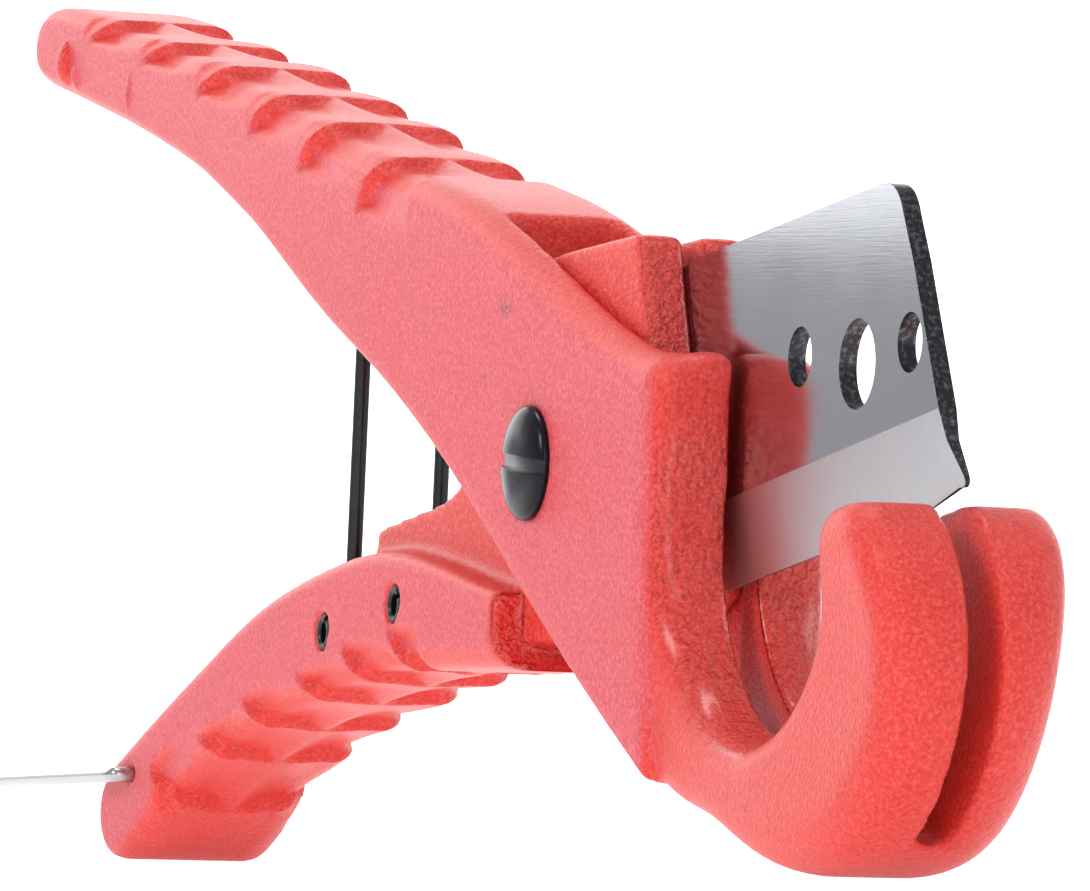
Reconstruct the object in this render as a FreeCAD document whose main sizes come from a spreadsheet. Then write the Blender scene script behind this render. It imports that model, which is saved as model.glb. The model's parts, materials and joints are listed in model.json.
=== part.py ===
import FreeCAD, Part
import os
from math import sin, cos, tan, acos, atan2, radians, degrees, hypot, pi

# One-hand scissor cutter for plastic pipe. Lengths are mm.
# Every body is drawn in the pivot frame: main pivot on the Y axis, X to the jaw, Z up,
# and all of them then get the same Placement, which stands the open tool on its hook and lever end.

doc = FreeCAD.newDocument("pipe_cutter")
V = FreeCAD.Vector

sizes = {
    "bodyWidth": 19.0, "bodyRound": 3.8, "bellyRound": 1.4, "channelWidth": 12.0, "slotWidth": 3.2,
    "tongueWidth": 11.4, "leverWidth": 19.0, "leverRound": 3.0, "leverTopRound": 1.0,
    "cradleX": 53.6, "cradleZ": -5.0, "cradleRadius": 19.6,
    "barrelDia": 8.0, "barrelBore": 8.1, "threadDia": 5.0, "headDia": 11.6, "headHeight": 1.9, "spotDia": 12.4, "spotDepth": 0.3,
    "driverWidth": 1.5, "driverDepth": 1.3,
    "thrustDia": 13.0, "thrustThick": 0.72, "thrustSeat": 5.22,
    "bladeThick": 1.8, "bladeSlot": 1.9, "bevelWidth": 8.6, "bevelLand": 0.12, "dowelDia": 3.0,
    "rollDia": 4.0, "rollWall": 0.8, "rollSlit": 0.7, "rollLength": 18.8,
    "springPinX": -62.3, "springPinZ": -19.6, "anchorPinX": -39.4, "anchorPinZ": -15.7,
    "springWire": 1.7, "coilRadius": 3.55, "coilTurns": 2.25, "legSide": 4.85, "legLength": 39.5,
    "bailWire": 1.8, "bailHoleX": -130.6, "bailHoleZ": -39.5, "bailBore": 1.96, "bailLength": 50.9,
    "bailSide": 11.6, "bailTilt": 4.4, "nubX": -167.6, "nubZ": 45.3, "nubRadius": 1.6, "nubHeight": 0.8,
    "scoopLong": 9.5, "scoopCross": 7.0, "scoopOffset": 2.4, "scoopSlant": 24.0,
    "standTilt": 3.9,
}
sheet = doc.addObject("Spreadsheet::Sheet", "sizes")
for row, (name, value) in enumerate(sizes.items(), start=1):
    sheet.set(f"A{row}", name)
    sheet.set(f"B{row}", str(value))
    sheet.setAlias(f"B{row}", name)
doc.recompute()


def size(name):
    return float(sheet.get(name))


def bind(obj, **props):
    for prop, expr in props.items():
        obj.setExpression(prop, expr)


def curves(pieces):
    """Turn a list of ('line' | 'curve', points) pieces into edges that share their ends."""
    out = []
    for kind, pts in pieces:
        pts = [V(x, y, 0) for x, y in pts]
        if kind == "line":
            out += [Part.LineSegment(a, b) for a, b in zip(pts, pts[1:])]
        else:
            bs = Part.BSplineCurve()
            bs.interpolate(pts)
            out.append(bs)
    return out


turns = {"XZ": FreeCAD.Rotation(V(1, 0, 0), 90), "XY": FreeCAD.Rotation(),
         "YZ": FreeCAD.Rotation(V(1, 1, 1), 120)}


def slab(name, pieces, width, plane="XZ"):
    """A closed outline drawn in a plane and extruded by the same amount to both sides of it."""
    sketch = doc.addObject("Sketcher::SketchObject", name + "_outline")
    sketch.Placement = FreeCAD.Placement(V(0, 0, 0), turns[plane])
    sketch.addGeometry(curves(pieces), False)
    ext = doc.addObject("Part::Extrusion", name)
    ext.Base = sketch
    ext.DirMode = "Normal"
    ext.Solid = True
    ext.Symmetric = True
    bind(ext, LengthFwd=width)
    doc.recompute()
    return ext


def atSide(e, w):
    """True for an edge that lies in one of the two side faces."""
    return e.BoundBox.YLength < 1e-3 and abs(abs(e.CenterOfMass.y) - w) < 1e-3


def rounded(name, base, first, last, test):
    """Fillet the edges of base that pass the test, with the radius changing from first to last."""
    fil = doc.addObject("Part::Fillet", name)
    fil.Base = base
    fil.Edges = [(i + 1, size(first), size(last)) for i, e in enumerate(base.Shape.Edges) if test(e)]
    doc.recompute()
    return fil


def joined(name, parts):
    obj = doc.addObject("Part::MultiFuse", name)
    obj.Shapes = parts
    obj.Refine = False
    return obj


def cut(name, base, tools):
    group = doc.addObject("Part::Compound", name + "_tools")
    group.Links = tools
    obj = doc.addObject("Part::Cut", name)
    obj.Base, obj.Tool = base, group
    obj.Refine = False
    return obj


def rod(name, x, z, dia, length, y0=None):
    """A cylinder along Y, centred on the middle plane unless y0 says where it starts."""
    obj = doc.addObject("Part::Cylinder", name)
    bind(obj, Radius=f"({dia}) / 2", Height=length)
    doc.recompute()
    start = -float(obj.Height) / 2 if y0 is None else y0
    obj.Placement = FreeCAD.Placement(V(x, start, z), FreeCAD.Rotation(V(1, 0, 0), -90))
    return obj


def spun(name, profile):
    """A turned piece: the profile is (radius, position along Y) points, turned about the pivot axis."""
    body = doc.addObject("PartDesign::Body", name)
    plane = [o for o in body.Origin.OriginFeatures if o.Role == "XY_Plane"][0]
    sketch = body.newObject("Sketcher::SketchObject", name + "_profile")
    sketch.AttachmentSupport = [(plane, "")]
    sketch.MapMode = "FlatFace"
    sketch.addGeometry(curves([("line", profile + profile[:1])]), False)
    rev = body.newObject("PartDesign::Revolution", name + "_turned")
    rev.Profile = sketch
    rev.ReferenceAxis = (sketch, ["V_Axis"])
    rev.Angle = 360
    doc.recompute()
    return body


def bent(points, bends):
    """Edges of a wire bent at each inner point with the radius given for it."""
    pts, edges = [V(*p) for p in points], []
    last = pts[0]
    for a, b, c, r in zip(pts, pts[1:], pts[2:], bends):
        u, w = (a - b).normalize(), (c - b).normalize()
        half = acos(u.dot(w)) / 2
        start, end = b + u * (r / tan(half)), b + w * (r / tan(half))
        inward = (u + w).normalize()
        edges += [Part.makeLine(last, start), Part.Arc(start, b + inward * (r / sin(half) - r), end).toShape()]
        last = end
    return edges + [Part.makeLine(last, pts[-1])]


def wireSolid(edges, dia):
    """Round wire swept along edges that follow each other."""
    first = edges[0]
    ring = Part.makeCircle(dia / 2, first.valueAt(first.FirstParameter), first.tangentAt(first.FirstParameter))
    return Part.Wire(edges).makePipeShell([Part.Wire(ring)], True, False, 0)


def plain(name, shape):
    obj = doc.addObject("Part::Feature", name)
    obj.Shape = shape
    return obj


def scoops(name, spots, side, up):
    """Thumb scoops along a handle edge: leaning ellipsoids taken out of both long corners."""
    out = []
    for i, (x, z, slope) in enumerate(spots):
        for s in (-1, 1):
            e = doc.addObject("Part::Ellipsoid", f"{name}_{i}_{'near' if s < 0 else 'far'}")
            bind(e, Radius1="sizes.scoopCross", Radius2="sizes.scoopLong", Radius3="sizes.scoopCross")
            turn = FreeCAD.Rotation(V(0, 1, 0), -slope).multiply(
                FreeCAD.Rotation(V(0, 0, 1), -s * size("scoopSlant")))
            e.Placement = FreeCAD.Placement(
                V(x, s * (side + size("scoopOffset")), z + up * size("scoopOffset")), turn)
            out.append(e)
    return out


# ---- body casting: upper handle, two cheeks and the hook ----
half = size("bodyWidth") / 2
handleRim = [(34, 11.2), (22, 12.9), (9.9, 16.4), (-8, 22.4), (-20, 25.9), (-29.5, 28), (-45, 30.6),
             (-60.4, 33.6), (-80, 37.8), (-102, 42), (-120.5, 45.6), (-140, 48.6), (-156, 51.3), (-171, 53.4),
             (-180, 54.3), (-185.2, 53.7), (-188.2, 50.6), (-187.6, 46.8), (-183.6, 44.7), (-176.6, 43.4),
             (-161, 40.8), (-146, 38.2), (-131, 35.2), (-117, 32), (-105, 28.4), (-94, 24.8), (-85.3, 21.4),
             (-74.8, 17.2), (-63.8, 13.2), (-52.4, 9.5), (-39.3, 4.7), (-22.6, -2.5), (-6.6, -10.6),
             (11.7, -19.7), (23.4, -25.1), (34.6, -30)]
handleBlank = slab("handle_blank", [("curve", handleRim), ("line", [(34.6, -30), (34, 11.2)])],
                   "sizes.bodyWidth")
bodyRound = rounded("handle_round", handleBlank, "bodyRound", "bellyRound",
                    lambda e: atSide(e, half) and e.BoundBox.XLength > 100)

# hook sections about the cradle centre: angle, inner and outer radius, half width, inner and outer corner
hookSections = [
    (142.5, 25.4, 27.4, 6.6, 0.8, 0.8), (144.5, 24.4, 28.0, 7.9, 1.4, 1.4), (149, 22.9, 28, 8.5, 2.2, 2.2),
    (157, 21.3, 28, 8.6, 2.6, 2.6), (169, 19.9, 28, 8.6, 2.8, 2.8), (184, 19.6, 28.4, 8.6, 2.8, 2.8),
    (201, 19.6, 30, 8.6, 2.8, 3.2), (220, 19.6, 32.5, 8.6, 2.8, 3.6), (238, 19.6, 30.8, 8.7, 2.8, 4.0),
    (254, 19.6, 28.6, 8.9, 2.9, 4.2), (270, 19.7, 29.4, 9.0, 3.0, 4.4), (285, 19.9, 32.0, 9.0, 3.2, 4.8),
    (300, 20.0, 35.4, 8.9, 3.4, 5.2), (315, 20.0, 39.0, 8.7, 3.6, 5.6), (329, 19.8, 40.6, 8.6, 3.8, 5.8),
    (342, 19.6, 40.2, 8.9, 4.0, 5.8), (352, 19.8, 37.8, 9.7, 4.0, 5.6), (359, 20.6, 34.6, 10.2, 3.8, 4.8),
    (364, 21.9, 31.4, 9.9, 3.2, 3.6), (366.5, 23.4, 29.4, 8.8, 2.2, 2.4)]
mid = V(size("cradleX"), 0, size("cradleZ"))


def hookRing(phi, ri, ro, w, a, b):
    """Rounded rectangle in the plane of the Y axis and the radius at angle phi."""
    u = V(cos(radians(phi)), 0, sin(radians(phi)))
    at = lambda r, y: mid + u * r + V(0, y, 0)
    k = 1 - sin(pi / 4)
    corners = [(ri, -w, a, 1, 1), (ro, -w, b, -1, 1), (ro, w, b, -1, -1), (ri, w, a, 1, -1)]
    pts = []
    for n, (r, y, c, sr, sy) in enumerate(corners):
        arc = [at(r, y + sy * c), at(r + sr * c * k, y + sy * c * k), at(r + sr * c, y)]
        pts.append(arc if n % 2 == 0 else arc[::-1])
    edges = []
    for n, arc in enumerate(pts):
        edges.append(Part.Arc(*arc).toShape())
        edges.append(Part.makeLine(arc[-1], pts[(n + 1) % 4][0]))
    return Part.Wire(edges)


hook = plain("hook_loft", Part.makeLoft([hookRing(*s) for s in hookSections], True, False))
nubs = []
for s in (-1, 1):
    nub = doc.addObject("Part::Ellipsoid", "latch_nub_" + ("near" if s < 0 else "far"))
    bind(nub, Radius1="sizes.nubRadius * 1.35", Radius2="sizes.nubRadius", Radius3="sizes.nubHeight * 2")
    nub.Placement = FreeCAD.Placement(V(size("nubX"), s * (half - size("nubHeight")), size("nubZ")),
                                      FreeCAD.Rotation(V(0, 1, 0), -10))
    nubs.append(nub)
bodyBlank = joined("body_blank", [bodyRound, hook] + nubs)

channelRoof = [(-18.6, 15.5), (-25, 14), (-33, 13.6), (-45, 15.6), (-56, 18.8), (-66, 23.4),
               (-76, 28.2), (-87, 31.2), (-98, 32.4), (-104, 31.4)]
channel = slab("channel_cutter", [("line", [(-18.6, 60), (-18.6, 15.5)]), ("curve", channelRoof),
                                  ("line", [(-104, 31.4), (-106, 0), (-60, -60), (30.4, -60), (30.4, 60),
                                            (-18.6, 60)])], "sizes.channelWidth")
blade_slot = slab("slot_cutter", [("line", [(28, 60), (28, -27.2)]),
                                  ("curve", [(28, -27.2), (45, -29.2), (65, -31.2), (80, -31.9), (99, -31.9)]),
                                  ("line", [(99, -31.9), (99, 60), (28, 60)])], "sizes.slotWidth")
bore = rod("pivot_bore", 0, 0, "sizes.barrelBore - 0.06", "60")
seatY = half - size("spotDepth")
spots = [rod("spot_face_" + ("near" if s < 0 else "far"), 0, 0, "sizes.spotDia", "5",
             seatY if s > 0 else -seatY - 5) for s in (-1, 1)]
topSpots = [(-158.5, 51.7, -8), (-134.5, 47.8, -9), (-111.5, 43.9, -10.5), (-90.5, 39.8, -11),
            (-71, 35.9, -11.5), (-51.5, 31.9, -11)]
body = cut("body_casting", bodyBlank,
           [channel, blade_slot, bore] + spots + scoops("back_scoop", topSpots, half, 1))
doc.recompute()

# ---- lever casting: lower handle, tongue and blade holder ----
side = size("leverWidth") / 2
leverRim = [(-8.4, -13.2), (-20, -11.9), (-33, -10.6), (-44, -10.2), (-52, -10.8), (-60.5, -12.1),
            (-70.5, -14.0), (-87.7, -18.4), (-105.4, -24.9), (-120.2, -30.6), (-132.8, -35.7),
            (-139.6, -38.6), (-143.6, -41.4), (-144.6, -45.2), (-142.4, -48.8), (-137.5, -50),
            (-131, -47.9), (-122.9, -43.9), (-108.7, -37.9), (-91.6, -32.6), (-75, -28.8), (-59, -25.8),
            (-38, -22.8), (-21.5, -21.6), (-5.0, -21.0)]
leverFront = [(-5.0, -21.0), (-7.6, -19.4), (-8.8, -16.8), (-8.4, -13.2)]
leverBlank = slab("lever_blank", [("curve", leverRim), ("curve", leverFront)], "sizes.leverWidth")
leverRound = rounded("lever_round", leverBlank, "leverTopRound", "leverRound",
                     lambda e: atSide(e, side) and e.BoundBox.XLength > 100)
tongueTop = [(-70, -12.4), (-64.7, -9.6), (-55.8, -8.0), (-44, -6), (-33.8, -4), (-24, 1.5), (-17, 8),
             (-13.5, 14), (-11.8, 20.6)]
tongue = slab("tongue_blank", [
    ("curve", tongueTop), ("line", [(-11.8, 20.6), (1.5, 21.7), (15.6, 22.9)]),
    ("curve", [(15.6, 22.9), (17.4, 22.8), (18.4, 21.4)]),
    ("curve", [(18.4, 21.4), (20, 16.4), (21.9, 11.6), (23.8, 3), (24.2, -5), (21, -12)]),
    ("curve", [(21, -12), (12, -16), (0, -17.6), (-8, -18.6), (-14, -19.6)]),
    ("line", [(-14, -19.6), (-40, -20), (-70, -22), (-70, -12.4)])], "sizes.tongueWidth")
leverSolid = joined("lever_solid", [leverRound, tongue])

pinX, pinZ = size("springPinX"), size("springPinZ")
ancX, ancZ = size("anchorPinX"), size("anchorPinZ")
well = slab("spring_well", [("line", [(-78, 20), (-74.5, -17)]),
                            ("curve", [(-74.5, -17), (-71, -22.4), (-62.3, -24.6), (-57.3, -23.6)]),
                            ("line", [(-57.3, -23.6), (-56.4, -12), (-54, 20), (-78, 20)])],
            "sizes.channelWidth")
bridge_slot = slab("bridge_slot", [("line", [(-60, 20), (-60, -24.0), (-34, -20.2), (-33, -14), (-33, 20),
                                             (-60, 20)])], "4.6")
knife_slot = slab("knife_slot", [("line", [(-9.5, 40), (-9.5, -9.5), (-2, -13), (30, -13), (30, 40),
                                           (-9.5, 40)])], "sizes.bladeSlot")
seats = []
for s in (-1, 1):
    y0 = size("thrustSeat") if s > 0 else -size("thrustSeat") - 5
    seats.append(rod("thrust_seat_" + ("near" if s < 0 else "far"), 0, 0, "sizes.thrustDia + 0.6",
                     "5", y0))
dowels = {"blade_dowel_upper": (11.5, 9.0), "blade_dowel_lower": (13.5, -6.5)}
leverHoles = [rod("lever_bore", 0, 0, "sizes.barrelBore", "40"),
              rod("spring_pin_hole", pinX, pinZ, "sizes.rollDia + 0.04", "40"),
              rod("anchor_pin_hole", ancX, ancZ, "sizes.rollDia + 0.04", "40"),
              rod("bail_hole", size("bailHoleX"), size("bailHoleZ"), "sizes.bailBore", "40")]
leverHoles += [rod(n + "_hole", x, z, "sizes.dowelDia + 0.04", "40") for n, (x, z) in dowels.items()]
lowSpots = [(-120, -42.2, 21), (-101, -35.4, 18), (-82, -30.4, 14), (-63, -26.6, 10), (-44, -23.4, 7)]
lever = cut("lever_casting", leverSolid,
            [well, bridge_slot, knife_slot] + seats + leverHoles + scoops("grip_scoop", lowSpots, side, -1))
doc.recompute()

# ---- blade: flat plate with a ground bevel, three lightening holes and a tang on the pivot ----
bladeBlank = slab("blade_blank", [
    ("line", [(15, 19.2), (22, 20.8), (66.4, 27.1)]),
    ("curve", [(66.4, 27.1), (69.4, 26.4), (71.2, 24.3)]),
    ("line", [(71.2, 24.3), (73.9, 20), (82.4, 4), (85.6, 1.0)]),
    ("curve", [(85.6, 1.0), (86.0, 0.2), (84.8, -0.2)]),
    ("line", [(84.8, -0.2), (77.5, -2.6), (53.2, -7.2), (32, -11.2), (18, -11.5), (0, -9.2)]),
    ("curve", [(0, -9.2), (-6.6, -6.4), (-9.2, 0), (-6.8, 6.2), (0, 9.6)]),
    ("line", [(0, 9.6), (8, 15), (15, 19.2)])], "sizes.bladeThick")
edgeWay = atan2(4.6, 24.3)
bevels = []
for s in (-1, 1):
    t, land, deep = size("bladeThick") / 2, size("bevelLand"), size("bevelWidth")
    wedge = Part.Face(Part.makePolygon([V(0, s * land, -1.2), V(0, s * land, 0), V(0, s * t, deep),
                                        V(0, s * 4, deep), V(0, s * 4, -1.2), V(0, s * land, -1.2)]))
    wedge = wedge.extrude(V(90, 0, 0))
    wedge.Placement = FreeCAD.Placement(V(23.5, 0, -12.85), FreeCAD.Rotation(V(0, 1, 0), -degrees(edgeWay)))
    bevels.append(plain("bevel_" + ("near" if s < 0 else "far"), wedge))
bladeHoles = [rod("blade_hole_rear", 48.6, 11.2, "5.7", "10"),
              rod("blade_hole_middle", 62.2, 10.6, "8.4", "10"),
              rod("blade_hole_front", 74.0, 12.6, "5.5", "10"),
              rod("blade_bore", 0, 0, "sizes.barrelBore", "10")]
bladeHoles += [rod(n + "_in_blade", x, z, "sizes.dowelDia + 0.04", "10") for n, (x, z) in dowels.items()]
blade = cut("blade", bladeBlank, bevels + bladeHoles)
doc.recompute()

# ---- pivot: domed screw in a domed sleeve nut, two thrust washers ----
hd, hh, td = size("headDia") / 2, size("headHeight"), size("threadDia") / 2


def dome(y, way):
    """Half outline of a domed head standing on the cheek face at y, rim first."""
    return [(hd, y), (hd, y + way * 0.45), (hd * 0.93, y + way * hh * 0.5), (hd * 0.76, y + way * hh * 0.78),
            (hd * 0.5, y + way * hh * 0.94), (hd * 0.25, y + way * hh * 0.99), (0, y + way * hh)]


screwBlank = spun("pivot_screw_blank", [(0, 7.0), (td - 0.3, 7.0), (td, 6.6), (td, -seatY - 0.02)]
                  + dome(-seatY - 0.02, -1))
barrel = size("barrelDia") / 2
nutBlank = spun("pivot_nut_blank", [(td + 0.03, -seatY + 0.3), (barrel, -seatY + 0.3), (barrel, seatY + 0.02)]
                + dome(seatY + 0.02, 1) + [(0, 8.2), (td + 0.03, 7.4)])
drivers = []
for s, turn in ((-1, 4), (1, 35)):
    d = doc.addObject("Part::Box", "driver_slot_" + ("near" if s < 0 else "far"))
    bind(d, Length="20", Width="5", Height="sizes.driverWidth")
    rot = FreeCAD.Rotation(V(0, 1, 0), turn)
    y = s * (seatY + hh - size("driverDepth"))
    d.Placement = FreeCAD.Placement(rot.multVec(V(-10, 0, -size("driverWidth") / 2))
                                    + V(0, y if s > 0 else y - 5, 0), rot)
    drivers.append(d)
screw = cut("pivot_screw", screwBlank, drivers[:1])
nut = cut("pivot_nut", nutBlank, drivers[1:])
washers = []
for s in (-1, 1):
    y0 = s * (size("thrustSeat") + 0.03)
    y1 = y0 + s * size("thrustThick")
    r0, r1 = size("barrelBore") / 2, size("thrustDia") / 2
    washers.append(spun("thrust_washer_" + ("near" if s < 0 else "far"),
                        [(r0, y0), (r1, y0), (r1, y1), (r0, y1)]))

# ---- dowels and roll pins ----
dowelParts = [rod(n, x, z, "sizes.dowelDia", "sizes.tongueWidth - 0.2") for n, (x, z) in dowels.items()]


def rollPin(name, x, z, slitTurn):
    """Slotted spring pin: a tube rolled from strip, with its slit along the whole length."""
    outer = rod(name + "_outer", x, z, "sizes.rollDia", "sizes.rollLength")
    inner = rod(name + "_bore", x, z, "sizes.rollDia - 2 * sizes.rollWall", "40")
    slit = doc.addObject("Part::Box", name + "_slit")
    bind(slit, Length="4", Width="40", Height="sizes.rollSlit")
    rot = FreeCAD.Rotation(V(0, 1, 0), slitTurn)
    slit.Placement = FreeCAD.Placement(rot.multVec(V(0, -20, -size("rollSlit") / 2)) + V(x, 0, z), rot)
    return cut(name, outer, [inner, slit])


springPin = rollPin("spring_pin", pinX, pinZ, -60)
anchorPin = rollPin("anchor_pin", ancX, ancZ, -35)

# ---- handle spring: double torsion spring, coils on the rear pin, middle loop under the front pin ----
cr, wire, side = size("coilRadius"), size("springWire"), size("legSide")
loopX, loopZ = ancX + 1.6, ancZ - size("rollDia") / 2 - wire / 2 - 0.1
# the coil ends where its tangent runs to the loop
lean = atan2(loopZ - pinZ, loopX - pinX) - acos(cr / hypot(loopX - pinX, loopZ - pinZ))
turnCount = size("coilTurns") // 1 + (lean + pi) / (2 * pi)
pitch = wire + 0.04
coil = Part.makeHelix(pitch, pitch * turnCount, cr, 0, True)
coil.transformShape(FreeCAD.Matrix(-1, 0, 0, pinX, 0, 0, 1, -side, 0, 1, 0, pinZ, 0, 0, 0, 1))
coil = coil.Edges[0]
coilEnd = coil.valueAt(coil.LastParameter)
loop = V(loopX, coilEnd.y, loopZ)
apex = loop + (loop - coilEnd).normalize() * abs(loop.y)
apex.y = 0
nearHalf = [Part.makeLine(V(pinX - cr, -side, pinZ + size("legLength")), V(pinX - cr, -side, pinZ)), coil,
            Part.makeLine(coilEnd, loop)]
farHalf = [e.mirror(V(0, 0, 0), V(0, 1, 0)) for e in reversed(nearHalf)]
bow = Part.Arc(loop, apex, V(loop.x, -loop.y, loop.z)).toShape()
spring = plain("handle_spring", wireSolid(nearHalf + [bow] + farHalf, wire))

# ---- latch bail: wire through the lever end, two legs back, hooked tips ----
bx, bz, bl, bs = size("bailHoleX"), size("bailHoleZ"), size("bailLength"), size("bailSide")
back = V(-cos(radians(size("bailTilt"))), 0, -sin(radians(size("bailTilt"))))
tipEnd = size("bodyWidth") / 2 + 0.35
shoulder, tail = V(bx, 0, bz), V(bx, 0, bz) + back * bl
corners = [tail + V(0, -tipEnd, 0), tail + V(0, -bs, 0), shoulder + V(0, -bs, 0)]
corners += [V(p.x, -p.y, p.z) for p in reversed(corners)]
bail = plain("latch_bail", wireSolid(bent(corners, [1.1, 1.7, 1.7, 1.1]), size("bailWire")))
doc.recompute()

# ---- one Placement for all: stand the open tool up, origin under the middle of its box ----
finals = [body, lever, blade, screw, nut] + washers + dowelParts + [springPin, anchorPin, spring, bail]
stand = FreeCAD.Placement(V(0, 0, 0), FreeCAD.Rotation(V(0, 1, 0), size("standTilt")))
box = FreeCAD.BoundBox()
for obj in finals:
    shape = obj.Shape.copy()
    shape.transformShape(stand.toMatrix())
    box.add(shape.optimalBoundingBox(False, False))
shift = FreeCAD.Placement(V(-box.Center.x, -box.Center.y, -box.ZMin), FreeCAD.Rotation())
place = shift.multiply(stand)
for obj in finals:
    obj.Placement = place.multiply(obj.Placement)
doc.recompute()

os.makedirs("parts", exist_ok=True)
for obj in doc.Objects:
    bad = [s for s in obj.State if s in ("Invalid", "Error")]
    if bad:
        raise RuntimeError(f"{obj.Name} is {bad}")
for obj in finals:
    if obj.Shape.isNull() or not obj.Shape.isValid():
        raise RuntimeError(f"{obj.Name} has no valid shape")
    obj.Shape.exportStep(f"parts/{obj.Name}.step")
    print(obj.Name, "solids", len(obj.Shape.Solids), "volume", round(obj.Shape.Volume, 1))
print("pivot at", place.Base, "box", box.XLength, box.YLength, box.ZLength)
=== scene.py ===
import bpy, bmesh, json, math
from mathutils import Vector, Matrix
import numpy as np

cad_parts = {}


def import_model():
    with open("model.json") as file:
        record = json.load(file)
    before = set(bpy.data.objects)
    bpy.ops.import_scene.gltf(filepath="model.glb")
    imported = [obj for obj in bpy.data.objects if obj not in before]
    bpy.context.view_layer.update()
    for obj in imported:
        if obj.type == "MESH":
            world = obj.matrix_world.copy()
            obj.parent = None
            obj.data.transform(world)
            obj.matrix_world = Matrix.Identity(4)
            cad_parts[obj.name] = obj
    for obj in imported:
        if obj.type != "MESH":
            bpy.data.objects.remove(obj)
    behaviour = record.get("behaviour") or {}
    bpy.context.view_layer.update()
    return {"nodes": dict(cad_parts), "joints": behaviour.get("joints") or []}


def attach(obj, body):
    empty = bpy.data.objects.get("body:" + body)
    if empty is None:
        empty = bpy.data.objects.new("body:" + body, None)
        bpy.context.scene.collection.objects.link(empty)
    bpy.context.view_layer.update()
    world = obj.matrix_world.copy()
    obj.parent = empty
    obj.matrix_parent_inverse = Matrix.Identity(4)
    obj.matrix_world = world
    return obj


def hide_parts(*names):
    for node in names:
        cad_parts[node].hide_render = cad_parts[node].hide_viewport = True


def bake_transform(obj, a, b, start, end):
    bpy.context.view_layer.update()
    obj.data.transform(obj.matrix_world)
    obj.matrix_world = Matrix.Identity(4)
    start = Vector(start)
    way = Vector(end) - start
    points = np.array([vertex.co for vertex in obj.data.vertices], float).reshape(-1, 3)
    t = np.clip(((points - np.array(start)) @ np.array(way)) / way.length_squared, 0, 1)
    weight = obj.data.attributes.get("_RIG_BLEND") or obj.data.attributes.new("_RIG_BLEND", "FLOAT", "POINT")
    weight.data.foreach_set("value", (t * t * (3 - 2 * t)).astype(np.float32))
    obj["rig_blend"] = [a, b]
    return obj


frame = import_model()
nodes = frame["nodes"]
joints = {j["name"]: j for j in frame["joints"]}
scene = bpy.context.scene
print("frame loaded:", len(nodes), "nodes")

# the castings are drawn about the main pivot and stand tilted by this much, as in the CAD
stand = {"tilt": 3.9}
pivot = Vector(joints["handle_pivot"]["pos_m"])
lean = Matrix.Rotation(math.radians(stand["tilt"]), 3, "Y")
level = lean.inverted()


def at(x, y, z):
    # a point in mm about the pivot, placed in the frame
    return lean @ (Vector((x, y, z)) * 0.001) + pivot


# a long lens looking along the tool from its front and near side. the middle of the view lies a little
# to the right of the pivot's near face and above it, by aim, in mm
view = {"turn": 20.5, "roll": 2.6, "lens": 214.68, "sensor": 36, "distance": 650.0, "faceY": -10.0,
        "aim": (2.2, 1.75), "clip": (0.02, 60)}


def makeCamera():
    turn, roll = math.radians(view["turn"]), math.radians(view["roll"])
    back = Vector((math.cos(turn), -math.sin(turn), 0))
    side = Vector((math.sin(turn), math.cos(turn), 0))
    up = back.cross(side)
    right = math.cos(roll) * side + math.sin(roll) * up
    up = -math.sin(roll) * side + math.cos(roll) * up
    across, above = view["aim"]
    eye = Vector((0, view["faceY"], 0)) + back * view["distance"] + right * across + up * above
    cam = bpy.data.cameras.new("camera")
    cam.sensor_width, cam.lens = view["sensor"], view["lens"]
    cam.clip_start, cam.clip_end = view["clip"]
    obj = bpy.data.objects.new("camera", cam)
    scene.collection.objects.link(obj)
    facing = Matrix((lean @ right, lean @ up, lean @ back)).transposed()
    obj.matrix_world = Matrix.Translation(at(*eye)) @ facing.to_4x4()
    scene.camera = obj
    print("camera height", round(obj.matrix_world.translation.z, 4))


makeCamera()


class Wire:
    # a socket that can be added, multiplied and so on
    def __init__(self, finish, socket):
        self.finish, self.socket = finish, socket

    def join(self, operation, a, b):
        return self.finish.node("ShaderNodeMath", {"operation": operation}, {0: a, 1: b})

    def __add__(self, other):
        return self.join("ADD", self, other)

    def __sub__(self, other):
        return self.join("SUBTRACT", self, other)

    def __rsub__(self, other):
        return self.join("SUBTRACT", other, self)

    def __mul__(self, other):
        return self.join("MULTIPLY", self, other)

    def __truediv__(self, other):
        return self.join("DIVIDE", self, other)

    def __pow__(self, other):
        return self.join("POWER", self, other)

    def below(self, other):
        return self.join("LESS_THAN", self, other)

    def over(self, other):
        return self.join("GREATER_THAN", self, other)

    def size(self):
        return self.join("ABSOLUTE", self, 0.0)

    __radd__, __rmul__ = __add__, __mul__

    def ease(self, low, high):
        # 0 below low, 1 above high, smooth between them
        return self.finish.node("ShaderNodeMapRange", {"interpolation_type": "SMOOTHSTEP"},
                                {"Value": self, "From Min": low, "From Max": high})


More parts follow.
